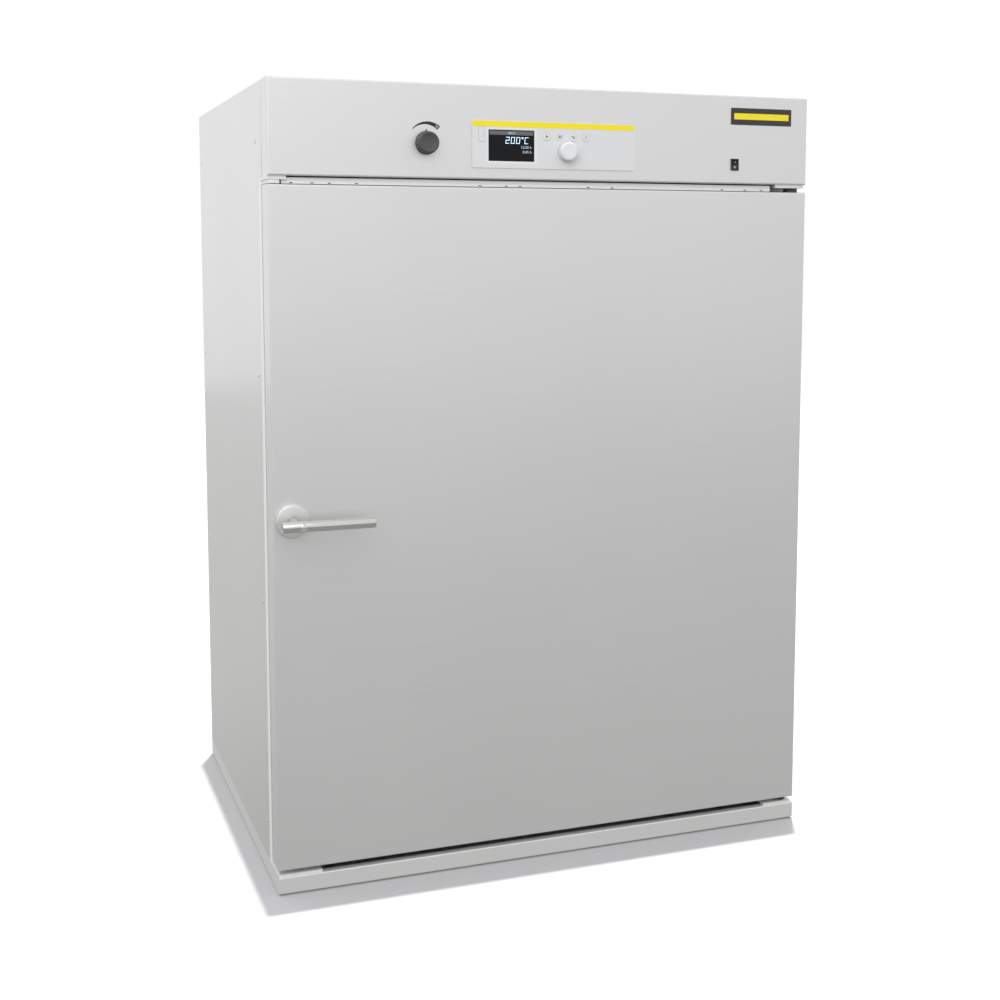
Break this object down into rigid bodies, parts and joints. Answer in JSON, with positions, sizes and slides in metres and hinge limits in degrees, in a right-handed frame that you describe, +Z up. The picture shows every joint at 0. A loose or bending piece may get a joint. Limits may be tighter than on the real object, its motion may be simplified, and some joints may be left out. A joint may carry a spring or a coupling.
{
  "type": "drying oven",
  "caption": "Floor-standing laboratory drying oven with a full-height swing door, lever latch, control fascia, wire grids, fan and rear exhaust.",
  "frame": {"origin": "on the floor under the middle of the object's box", "axes": "+X to the right seen from the front, +Y to the back, +Z up; the door faces -Y"},
  "size_m": [1.002, 0.875, 1.37],
  "materials": {
    "brushed_sheet": "stainless sheet with a fine grain",
    "chamber_steel": "rolled stainless sheet, satin",
    "handle_steel": "turned and brushed stainless",
    "bright_steel": "bright zinc-plated or ground steel",
    "screw_steel": "stainless screw heads",
    "grid_steel": "electropolished wire",
    "zinc_sheet": "galvanised sheet",
    "motor_paint": "satin dark paint",
    "heater_sheath": "oxidised tube sheath",
    "bush_brass": "turned bearing metal",
    "knob_plastic": "fine-grained moulding",
    "bezel_plastic": "smooth light moulding",
    "housing_plastic": "plain dark moulding",
    "key_plastic": "soft-touch membrane keys",
    "dial_plastic": "satin white moulding",
    "display_glass": "black display window",
    "switch_plastic": "black moulding",
    "rocker_plastic": "black rocker",
    "plate_plastic": "blank enamelled plate",
    "pad_rubber": "hard rubber",
    "gasket_rubber": "silicone profile",
    "mineral_wool": "rigid wool slab"
  },
  "bodies": {
    "cabinet": {"base_tray": "brushed_sheet", "base_plate": "brushed_sheet", "side_panel_right": "brushed_sheet", "side_panel_left": "brushed_sheet", "top_panel": "brushed_sheet", "rear_panel": "brushed_sheet", "front_frame": "brushed_sheet", "fascia": "brushed_sheet", "floor_pads": "pad_rubber", "panel_screws": "screw_steel", "control_deck": "zinc_sheet", "liner": "chamber_steel", "insulation_slabs": "mineral_wool", "air_baffle": "chamber_steel", "shelf_rack_right": "chamber_steel", "shelf_rack_left": "chamber_steel", "fan_motor": "motor_paint", "motor_cover": "zinc_sheet", "ring_heater": "heater_sheath", "temperature_probe": "bright_steel", "exhaust_box": "zinc_sheet", "exhaust_stub": "brushed_sheet", "damper_bushes": "bush_brass", "controller_bezel": "bezel_plastic", "controller_housing": "housing_plastic", "display_lens": "display_glass", "usb_socket": "bright_steel", "switch_bezel": "switch_plastic", "blank_plate": "plate_plastic", "relay_block": "housing_plastic", "cable_gland": "housing_plastic", "hinge_plate_lower": "bright_steel", "hinge_plate_upper": "bright_steel", "blank_hinge_plates": "bright_steel", "hinge_pins": "bright_steel", "latch_keeper": "zinc_sheet"},
    "door": {"door_shell": "brushed_sheet", "door_inner_panel": "chamber_steel", "door_insulation": "mineral_wool", "door_gasket": "gasket_rubber", "hinge_bushes": "housing_plastic", "lever_rose": "handle_steel"},
    "latch": {"lever_handle": "handle_steel", "latch_spindle": "bright_steel", "latch_tongue": "bright_steel"},
    "exhaust_control": {"exhaust_knob": "knob_plastic", "damper_shaft": "bright_steel", "damper_shutter": "zinc_sheet"},
    "fan": {"fan_impeller": "zinc_sheet", "fan_shaft": "bright_steel"},
    "start_key": {"key_start": "key_plastic"},
    "stop_key": {"key_stop": "key_plastic"},
    "back_key": {"key_back": "key_plastic"},
    "info_key": {"key_info": "key_plastic"},
    "jog_press": {"jog_shaft": "bright_steel"},
    "jog_wheel": {"jog_dial": "dial_plastic"},
    "usb_cover": {"usb_flap": "bezel_plastic"},
    "rocker": {"switch_rocker": "rocker_plastic"},
    "lower_grid": {"wire_grid_lower": "grid_steel"},
    "upper_grid": {"wire_grid_upper": "grid_steel"}
  },
  "joints": [
    {"name": "door_hinge", "type": "hinge", "parent": "cabinet", "child": "door", "pos_m": [0.48, -0.3505, 0.62], "axis": [0, 0, 1], "range_deg": [0, 180]},
    {"name": "latch_turn", "type": "hinge", "parent": "door", "child": "latch", "pos_m": [-0.468, -0.3725, 0.645], "axis": [0, 1, 0], "range_deg": [0, 45], "stiffness_Nm_per_rad": 1.5, "springref_deg": -20.05},
    {"name": "exhaust_turn", "type": "hinge", "parent": "cabinet", "child": "exhaust_control", "pos_m": [-0.232, -0.3725, 1.271], "axis": [0, 1, 0], "range_deg": [-45, 45]},
    {"name": "fan_spin", "type": "hinge", "parent": "cabinet", "child": "fan", "pos_m": [0, 0.2675, 0.61], "axis": [0, 1, 0], "continuous": true},
    {"name": "start_key_press", "type": "slide", "parent": "cabinet", "child": "start_key", "axis": [0, 1, 0], "range_m": [0, 0.001], "stiffness_N_per_m": 600},
    {"name": "stop_key_press", "type": "slide", "parent": "cabinet", "child": "stop_key", "axis": [0, 1, 0], "range_m": [0, 0.001], "stiffness_N_per_m": 600},
    {"name": "back_key_press", "type": "slide", "parent": "cabinet", "child": "back_key", "axis": [0, 1, 0], "range_m": [0, 0.001], "stiffness_N_per_m": 600},
    {"name": "info_key_press", "type": "slide", "parent": "cabinet", "child": "info_key", "axis": [0, 1, 0], "range_m": [0, 0.001], "stiffness_N_per_m": 600},
    {"name": "jog_push", "type": "slide", "parent": "cabinet", "child": "jog_press", "axis": [0, 1, 0], "range_m": [0, 0.0008], "stiffness_N_per_m": 900},
    {"name": "jog_turn", "type": "hinge", "parent": "jog_press", "child": "jog_wheel", "pos_m": [0.021, -0.3805, 1.262], "axis": [0, 1, 0], "continuous": true},
    {"name": "usb_cover_swing", "type": "hinge", "parent": "cabinet", "child": "usb_cover", "pos_m": [-0.1398, -0.3738, 1.2885], "axis": [0, 0, -1], "range_deg": [0, 95]},
    {"name": "rocker_tilt", "type": "hinge", "parent": "cabinet", "child": "rocker", "pos_m": [0.3507, -0.3705, 1.247], "axis": [-1, 0, 0], "range_deg": [0, 16]},
    {"name": "lower_grid_slide", "type": "slide", "parent": "cabinet", "child": "lower_grid", "axis": [0, -1, 0], "range_m": [0, 0.025]},
    {"name": "upper_grid_slide", "type": "slide", "parent": "cabinet", "child": "upper_grid", "axis": [0, -1, 0], "range_m": [0, 0.025]}
  ]
}
